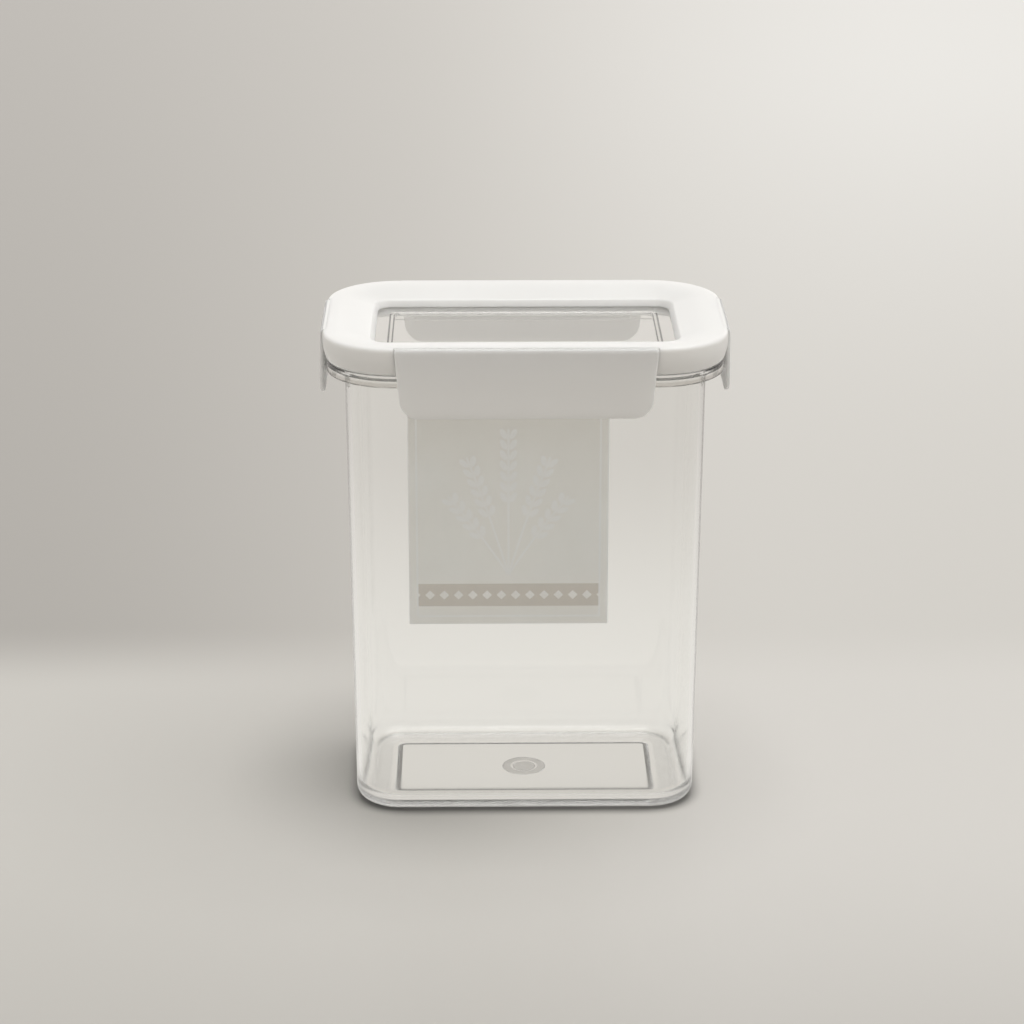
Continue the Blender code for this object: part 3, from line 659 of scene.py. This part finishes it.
def lid_rings():
    """The frame's closed section, from the skirt's outer foot over the top and back underneath."""
    rings = [mouth_ring(*pair) for pair in skirt_curve(0, SKIRT_LOW + 0.5, BRIM, 14)]
    power = 2 / BRIM_FULLNESS
    for step in range(1, 24):
        turn = math.radians(90) * step / 24
        across = 4.5 * math.cos(turn) ** power
        up = (CREST - BRIM) * math.sin(turn) ** power
        rings.append(mouth_ring(3.75 + across, BRIM + up))
    rings.append(mouth_ring(3.75, CREST))
    crest = rings[-1]
    lead_in = soften([(OPENING_ROUND + 4, OPENING_EDGE + 1.2, 0), (OPENING_ROUND, OPENING_EDGE, 1.4),
                      (0.0, SEAT + 0.15, 0.1), (0.2, SEAT, 0)])[1:]
    edge = opening_ring(*lead_in[0])
    for step in range(1, 13):
        share = step / 12
        dip = (CREST - lead_in[0][1]) * share * share * (1.6 - 0.6 * share)
        mixed = [a + (b - a) * share for a, b in zip(crest, edge)]
        rings.append(ring(mixed[0], mixed[1], mixed[2], CREST - dip))
    rings += [opening_ring(*pair) for pair in lead_in[1:]]
    hollow = skirt_curve(1.8, 190.0, SKIRT_LOW + 0.4, 8)
    section = [
        (-8.0, SEAT, 0), (-6.45, SEAT, 0.3), (-6.45, 184.0, 0.6), (-4.45, 184.0, 0.6), (-4.45, 193.7, 0.3),
        (1.35, 193.7, 0.3), (1.35, 191.9, 0.4), (2.65, 191.9, 0.4), (2.65, 193.7, 0.3),
        (5.35, 193.7, 0.3), (5.35, 192.2, 0),
    ]
    foot = [(-1.6, 0.1), (-1.35, 0), (-0.4, 0), (-0.16, 0.06), (-0.04, 0.2)]
    under = soften(section) + hollow + [(SKIRT_REACH + out, SKIRT_LOW + up) for out, up in foot]
    rings += [mouth_ring(*pair) for pair in under]
    return rings + rings[:1]


lid_mesh = skin_over("lid_shell", lid_rings(), white_plastic, corner_steps=32)
print("Lid rings:", len(lid_rings()))

# %% [markdown]
# The brim is cut back along each latch, which leaves a narrow groove for the thin living hinge. A Boolean with one
# plain block for each latch makes the cut, and the Boolean is applied at once so that no cutter stays behind.

# %% Hinge grooves
GROOVE_FACE, HINGE_LEVEL = 7.05, 196.175
FRONT_HALF, SIDE_HALF = 50.3, 21.75
LATCH_TOP, LATCH_LOW, LATCH_TAPER = 196.4, 169.1, 2.6
LATCH_PLACES = {
    "front": (0, FRONT_HALF, MOUTH_Y),
    "right": (90, SIDE_HALF, MOUTH_X),
    "rear": (180, FRONT_HALF, MOUTH_Y),
    "left": (270, SIDE_HALF, MOUTH_X),
}


def outward_frame(turn, reach, level):
    """Matrix for a side of the canister: X along the side, Y up, Z straight out."""
    upright = Matrix.Rotation(math.radians(90), 4, "X")
    return Matrix.Rotation(math.radians(turn), 4, "Z") @ Matrix.Translation((0, -reach * MM, level * MM)) @ upright


def cut_grooves(mesh):
    """Cut the brim back behind each latch."""
    lid = bpy.data.objects.new("lid_rough", mesh)
    bpy.context.scene.collection.objects.link(lid)
    cutters = []
    for side, (turn, half, mouth) in LATCH_PLACES.items():
        block = bmesh.new()
        size = Matrix.Diagonal((2 * (half + 0.06) * MM, 18 * MM, 12 * MM, 1))
        bmesh.ops.create_cube(block, size=1.0, matrix=Matrix.Translation((0, 2.7 * MM, 6 * MM)) @ size)
        for corner in block.verts:
            below_top = (LATCH_TOP - HINGE_LEVEL) * MM - corner.co.y
            side_sign = math.copysign(1.0, corner.co.x)
            corner.co.x -= side_sign * below_top * LATCH_TAPER / (LATCH_TOP - LATCH_LOW)
        shape = bpy.data.meshes.new(side + "_cutter")
        block.transform(outward_frame(turn, mouth + GROOVE_FACE, HINGE_LEVEL))
        block.to_mesh(shape)
        block.free()
        cutter = bpy.data.objects.new(side + "_cutter", shape)
        bpy.context.scene.collection.objects.link(cutter)
        cut = lid.modifiers.new(side + "_cut", "BOOLEAN")
        cut.operation = "DIFFERENCE"
        cut.solver = "EXACT"
        cut.object = cutter
        cutters.append(cutter)
    done = bpy.data.meshes.new_from_object(lid.evaluated_get(bpy.context.evaluated_depsgraph_get()))
    for spare in cutters + [lid]:
        bpy.data.objects.remove(spare, do_unlink=True)
    done.name = "lid_shell"
    done.shade_smooth()
    done.set_sharp_from_angle(angle=math.radians(40))
    return done


lid_shell = add_piece("lid_shell", cut_grooves(lid_mesh))
lid_shell.data.materials.clear()
lid_shell.data.materials.append(white_plastic)
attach(lid_shell, "lid")
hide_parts("lid_frame")

# %% [markdown]
# ## The window
# A clear panel is held under the frame. A low rib stands down from it all round, which shows from above as a
# fine double line just inside the opening.

# %% Window
def window_rings():
    """The panel's section from the middle of its underside, over the rib and the rim, to the middle of its top."""
    rib = [(-5, 188.9, 0), (-1.6, 188.9, 0.35), (-1.6, 185.9, 0.4), (0, 185.9, 0.4), (0, 188.9, 0.35), (2.5, 188.9, 0)]
    rings = [ring(31.0, 0.0, 0.0, 188.9)]
    rings += [ring(53.365 + out, 23.815 + out, max(3.0 + out, 0.3), level) for out, level in soften(rib)]
    rim = [(-9, 188.9, 0), (-6.75, 188.9, 0.3), (-6.75, 190.9, 0.3), (-9, 190.9, 0)]
    rings += [mouth_ring(*pair) for pair in soften(rim)]
    rings.append(ring(30.0, 0.0, 0.0, 190.9))
    return rings


window = add_piece("lid_pane", skin_over("lid_pane", window_rings(), clear_plastic, corner_steps=16))
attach(window, "lid")
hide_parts("lid_window")

# %% [markdown]
# ## The latches
# Each latch is a flat plate that narrows a little downwards, with large rounded lower corners and a bead on
# the inside that snaps under the tub's lip. The same ring tree makes it, lying down: rings run from the bead out to
# the front face, and the tree's Taper narrows them. The mesh is then stood up on its side of the canister.

# %% Latches
LATCH_MIDDLE = (LATCH_TOP + LATCH_LOW) / 2
LATCH_TALL = (LATCH_TOP - LATCH_LOW) / 2
LATCH_INNER, LATCH_THICK = 8.05, 1.7
BEAD_MIDDLE, BEAD_TALL, BEAD_OUT = 179.2, 1.2, 0.95


LATCH_BOW, CROWN_TALL, CROWN_DEEP, LIP_TALL, LIP_DEEP = 0.65, 1.8, 0.55, 3.0, 0.9


def latch_rings(half):
    """A latch's rings from the bead on its inner face to the middle of its outer face."""
    centre = half - LATCH_TAPER / 2
    bead_half = centre - 4.0
    rings = []
    for step in range(9):
        turn = math.radians(90) * step / 8
        tall = BEAD_TALL * math.sin(turn)
        wide = bead_half - BEAD_TALL + tall
        rings.append(ring(wide, tall, tall, -BEAD_OUT * math.cos(turn), middle=BEAD_MIDDLE - LATCH_MIDDLE))
    edge = soften([(-3.0, 0, 0), (0, 0, 0.2), (0, LATCH_THICK, 0.3), (-0.4, LATCH_THICK, 0)])
    insets = [0.5, 0.65, 0.85, 1.1, 1.4, 1.8, 2.2, 2.6, 3.0, 4.0, 5.0, 6.0, 7.5, 9.0, 10.5, 12.0]
    edge += [(-inset, LATCH_THICK) for inset in insets]
    for out, level in edge:
        rings.append(ring(centre + out, LATCH_TALL + out, 1.2 + out, level, low_corner=7.0 + out))
    rings.append(ring(centre - LATCH_TALL, 0.0, 0.0, LATCH_THICK))
    return rings


def fallen(distance, tall, deep):
    """How far a face has rounded away at a distance from its edge."""
    rest = min(max(distance / tall, 0.0), 1.0)
    return deep * (1 - math.sqrt(1 - (1 - rest) ** 2))


def bow_face(mesh):
    """Bow the outer face back over its upper half, round it over at the top and draw its lower edge in."""
    for point in mesh.vertices:
        up = point.co.y / MM
        share = max(0.0, point.co.z / MM / LATCH_THICK)
        bow = LATCH_BOW * max(0.0, up / LATCH_TALL) ** 2
        crown = fallen(LATCH_TALL - up, CROWN_TALL, CROWN_DEEP)
        lip = fallen(LATCH_TALL + up, LIP_TALL, LIP_DEEP)
        point.co.z -= share * (bow + crown + lip) * MM


def build_latch(side):
    """One latch plate, stood up on its side of the lid."""
    turn, half, mouth = LATCH_PLACES[side]
    slope = LATCH_TAPER / 2 / LATCH_TALL / (half - LATCH_TAPER / 2) / MM
    finish = latch_plastic if half == FRONT_HALF else side_latch_plastic
    mesh = skin_over(side + "_clip", latch_rings(half), finish, corner_steps=10, taper=slope)
    bow_face(mesh)
    mesh.transform(outward_frame(turn, mouth + LATCH_INNER, LATCH_MIDDLE))
    latch = add_piece(side + "_clip", mesh)
    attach(latch, side + "_latch")
    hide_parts(side + "_latch")
    return latch


latches = [build_latch(side) for side in LATCH_PLACES]

# %% [markdown]
# ## The living hinges
# A strip under half a millimetre thick joins each latch to the brim; on the real lid it bends when the latch opens.
# It is a grid of small faces across its width, fine enough to curl smoothly.

# %% Hinge strips
def build_strip(side):
    """The thin strip between the brim and one latch."""
    turn, half, mouth = LATCH_PLACES[side]
    builder = bmesh.new()
    bmesh.ops.create_cube(builder, size=1.0)
    across = [edge for edge in builder.edges if abs((edge.verts[0].co - edge.verts[1].co).z) > 0.5]
    bmesh.ops.subdivide_edges(builder, edges=across, cuts=11, use_grid_fill=True)
    gap = LATCH_INNER - GROOVE_FACE
    builder.transform(Matrix.Diagonal((2 * (half - 0.3) * MM, 0.45 * MM, (gap + 0.1) * MM, 1)))
    builder.transform(outward_frame(turn, mouth + GROOVE_FACE + gap / 2, HINGE_LEVEL))
    bmesh.ops.recalc_face_normals(builder, faces=builder.faces)
    mesh = bpy.data.meshes.new(side + "_hinge_strip")
    builder.to_mesh(mesh)
    builder.free()
    mesh.materials.append(strip_plastic)
    strip = bpy.data.objects.new(side + "_hinge_strip", mesh)
    bpy.context.scene.collection.objects.link(strip)
    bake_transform(strip)
    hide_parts(side + "_hinge_web")
    print(strip.name, len(mesh.polygons), "faces")
    return strip


strips = [build_strip(side) for side in LATCH_PLACES]

# %% [markdown]
# ## The label
# A paper label is stuck to the outside of the back wall, so the camera sees its reverse through the tub. Its design
# here is a plain sheaf of grain. Each ear is drawn by a shader group: a stem, and pairs of slanting kernels that
# repeat along it. A drawn mask is better than modelled leaves here, because ink has no thickness.

# %% Ear of grain group
def grain_ear_group():
    """Shader group: the mask of one ear of grain, standing on a foot point and leaning to one side."""
    group = bpy.data.node_groups.new("grain_ear", "ShaderNodeTree")
    for label, usual in (("Foot X", 0.0), ("Foot Z", 0.0), ("Lean", 0.0), ("Stem", 0.04), ("Ear", 0.03)):
        socket = group.interface.new_socket(label, in_out="INPUT", socket_type="NodeSocketFloat")
        socket.default_value = usual
    group.interface.new_socket("Mask", in_out="OUTPUT", socket_type="NodeSocketFloat")
    given = group.nodes.new("NodeGroupInput").outputs
    result = group.nodes.new("NodeGroupOutput").inputs
    spot = place(group, "ShaderNodeSeparateXYZ", {0: place(group, "ShaderNodeTexCoord").outputs["Object"]})
    right = reckon(group, "SUBTRACT", spot.outputs["X"], given["Foot X"])
    rise = reckon(group, "SUBTRACT", spot.outputs["Z"], given["Foot Z"])
    cosine = reckon(group, "COSINE", given["Lean"])
    sine = reckon(group, "SINE", given["Lean"])
    along = reckon(group, "MULTIPLY_ADD", rise, cosine, reckon(group, "MULTIPLY", right, sine))
    bend = reckon(group, "MULTIPLY", reckon(group, "MULTIPLY", along, along), reckon(group, "MULTIPLY", sine, 3.0))
    across = reckon(group, "SUBTRACT", reckon(group, "MULTIPLY", right, cosine), reckon(group, "MULTIPLY", rise, sine))
    across = reckon(group, "ABSOLUTE", reckon(group, "SUBTRACT", across, bend))

    past = reckon(group, "SUBTRACT", along, given["Stem"])
    top = reckon(group, "ADD", given["Stem"], given["Ear"])
    stem = reckon(group, "MULTIPLY", ease(group, across, 0.55 * MM, 0.30 * MM), ease(group, along, -0.1 * MM, 0.1 * MM))
    stem = reckon(group, "MULTIPLY", stem, ease(group, reckon(group, "SUBTRACT", top, along), 0.0, 0.2 * MM))
    pitch = 4.6 * MM
    cell = reckon(group, "SUBTRACT", reckon(group, "FRACT", reckon(group, "DIVIDE", past, pitch)), 0.5)
    forward = reckon(group, "MULTIPLY", cell, pitch)
    outward = reckon(group, "SUBTRACT", across, 2.0 * MM)
    length = reckon(group, "MULTIPLY_ADD", forward, 0.87, reckon(group, "MULTIPLY", outward, 0.5))
    breadth = reckon(group, "MULTIPLY_ADD", outward, 0.87, reckon(group, "MULTIPLY", forward, -0.5))
    long_share = reckon(group, "POWER", reckon(group, "DIVIDE", reckon(group, "ABSOLUTE", length), 2.5 * MM), 2.0)
    wide_share = reckon(group, "POWER", reckon(group, "DIVIDE", reckon(group, "ABSOLUTE", breadth), 1.25 * MM), 2.0)
    kernel = ease(group, reckon(group, "ADD", long_share, wide_share), 1.1, 0.8)
    in_ear = reckon(group, "MULTIPLY", ease(group, past, 0.0, 0.1 * MM),
                    ease(group, reckon(group, "SUBTRACT", given["Ear"], past), 0.0, 0.1 * MM))
    kernel = reckon(group, "MULTIPLY", kernel, in_ear)
    group.links.new(reckon(group, "MAXIMUM", stem, kernel), result["Mask"])
    return group


grain_ear = grain_ear_group()
print("Group", grain_ear.name, "with", len(grain_ear.nodes), "nodes")

# %% [markdown]
# The whole print is a second group, because both sides of the paper use it: strongly on the printed side, and as a
# faint show-through on the reverse. It gathers five ears into a sheaf and adds a frame line and a darker band. It
# also paints a highlight along the paper's edges as pale ink.

# %% Printed design group
LABEL_MIDDLE_X = -5.9 * MM
LABEL_LOW, LABEL_TALL, LABEL_HALF = 49.6 * MM, 104.0 * MM, 41.75 * MM


def label_print_group():
    """Shader group: how much pale ink, with a painted highlight at the edges, and how much dark ink lies at each point
    of the label.
    """
    group = bpy.data.node_groups.new("sheaf_print", "ShaderNodeTree")
    for label in ("Pale Ink", "Dark Ink"):
        group.interface.new_socket(label, in_out="OUTPUT", socket_type="NodeSocketFloat")
    result = group.nodes.new("NodeGroupOutput").inputs
    sheaf = 0.0
    for lean, stem, ear in ((-32, 20, 23), (-16, 27, 27.6), (0, 32, 32.2), (16, 27, 27.6), (32, 20, 23)):
        drawn = place(group, "ShaderNodeGroup", node_tree=grain_ear)
        drawn.inputs["Foot X"].default_value = LABEL_MIDDLE_X
        drawn.inputs["Foot Z"].default_value = LABEL_LOW + 22 * MM
        drawn.inputs["Lean"].default_value = math.radians(lean)
        drawn.inputs["Stem"].default_value = stem * MM
        drawn.inputs["Ear"].default_value = ear * MM
        sheaf = reckon(group, "MAXIMUM", drawn.outputs["Mask"], sheaf)
    spot = place(group, "ShaderNodeSeparateXYZ", {0: place(group, "ShaderNodeTexCoord").outputs["Object"]})
    sideways = reckon(group, "ABSOLUTE", reckon(group, "SUBTRACT", spot.outputs["X"], LABEL_MIDDLE_X))
    up = reckon(group, "SUBTRACT", spot.outputs["Z"], LABEL_LOW)
    upright = reckon(group, "ABSOLUTE", reckon(group, "SUBTRACT", up, LABEL_TALL / 2))
    inset = reckon(group, "MINIMUM", reckon(group, "SUBTRACT", LABEL_HALF, sideways),
                   reckon(group, "SUBTRACT", LABEL_TALL / 2, upright))
    frame_line = band(group, inset, 3.1, 3.9, 0.1)
    bead = reckon(group, "FRACT", reckon(group, "DIVIDE", sideways, 6.0 * MM))
    bead = reckon(group, "MULTIPLY", reckon(group, "SUBTRACT", bead, 0.5), 6.0 * MM)
    drop = reckon(group, "SUBTRACT", up, 13.0 * MM)
    away = reckon(group, "ADD", reckon(group, "ABSOLUTE", bead), reckon(group, "ABSOLUTE", drop))
    inside = ease(group, inset, 3.3 * MM, 3.5 * MM)
    beads = reckon(group, "MULTIPLY", ease(group, away, 2.2 * MM, 1.9 * MM), inside)
    # Painted highlight: a pale rim along the paper's edges, added to the pale ink.
    edge_highlight = ease(group, inset, 0.5 * MM, 0.3 * MM)
    pale = reckon(group, "MAXIMUM", reckon(group, "MAXIMUM", sheaf, frame_line), reckon(group, "MAXIMUM", beads, edge_highlight))
    group.links.new(pale, result["Pale Ink"])
    stripe = reckon(group, "MULTIPLY", band(group, up, 8.0, 18.0, 0.2), inside)
    haze = ease(group, up, 60.0 * MM, 100.0 * MM, 0.0, 0.3)
    group.links.new(reckon(group, "MAXIMUM", stripe, haze), result["Dark Ink"])
    return group


sheaf_print = label_print_group()
print("Group", sheaf_print.name, "with", len(sheaf_print.nodes), "nodes")

# %% [markdown]
# The paper is thin enough for daylight to come through it, so a Subsurface share lets the bright studio behind the
# canister light up the reverse. Fine fibres give the sheet its tooth.

# %% Label paper
def label_material(name, paper, ground, dark, pale, strength):
    """Printed paper: its two cloudy ground tones, the two inks, and how strongly the print shows."""
    material, tree, output = new_material(name)
    spot = place(tree, "ShaderNodeTexCoord").outputs["Object"]
    fibre = place(tree, "ShaderNodeTexNoise", {"Vector": spot, "Scale": 900.0, "Detail": 3.0})
    cloud = place(tree, "ShaderNodeTexNoise", {"Vector": spot, "Scale": 34.0, "Detail": 2.0})
    print_here = place(tree, "ShaderNodeGroup", node_tree=sheaf_print)
    wash = blend_colours(tree, ease(tree, cloud.outputs["Fac"], 0.35, 0.65), paper, ground)
    tone = blend_colours(tree, reckon(tree, "MULTIPLY", print_here.outputs["Dark Ink"], strength), wash, dark)
    tone = blend_colours(tree, reckon(tree, "MULTIPLY", print_here.outputs["Pale Ink"], strength), tone, pale)
    gloss = ease(tree, fibre.outputs["Fac"], 0.3, 0.7, 0.5, 0.65)
    bump = place(tree, "ShaderNodeBump", {"Height": fibre.outputs["Fac"], "Strength": 0.1, "Distance": 0.0005})
    body = place(tree, "ShaderNodeBsdfPrincipled",
                 {"Base Color": tone, "Roughness": gloss, "Normal": bump.outputs["Normal"]})
    body.inputs["Subsurface Weight"].default_value = 1.0
    body.inputs["Subsurface Radius"].default_value = (1.0, 1.0, 1.0)
    body.inputs["Subsurface Scale"].default_value = 0.0009
    tree.links.new(body.outputs[0], output.inputs["Surface"])
    return material


PALE_INK = (0.99, 0.962, 0.92, 1)
printed_side = label_material("label_front_print", (0.87, 0.82, 0.74, 1), (0.81, 0.77, 0.69, 1),
                              (0.42, 0.38, 0.33, 1), PALE_INK, 1.0)
reverse_side = label_material("label_reverse", (0.985, 0.935, 0.86, 1), (0.925, 0.88, 0.805, 1),
                              (0.52, 0.475, 0.425, 1), PALE_INK, 0.9)
print("Materials", printed_side.name, reverse_side.name)

# %% Label
def build_label():
    """The label's sheet on the back wall, leaning with the wall."""
    low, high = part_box("label")
    builder = bmesh.new()
    bmesh.ops.create_cube(builder, size=1.0)
    for face in builder.faces:
        face.material_index = 1 if face.normal.y < -0.5 else 0
    builder.transform(Matrix.Diagonal((83.5 * MM, 0.2 * MM, 104.0 * MM, 1)))
    lean = Matrix.Rotation(-math.atan(DRAFT), 4, "X")
    builder.transform(Matrix.Translation((low + high) / 2) @ lean)
    mesh = bpy.data.meshes.new("grain_label")
    builder.to_mesh(mesh)
    builder.free()
    mesh.materials.append(printed_side)
    mesh.materials.append(reverse_side)
    label = bpy.data.objects.new("grain_label", mesh)
    bpy.context.scene.collection.objects.link(label)
    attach(label, "canister")
    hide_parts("label")
    return label


label = build_label()
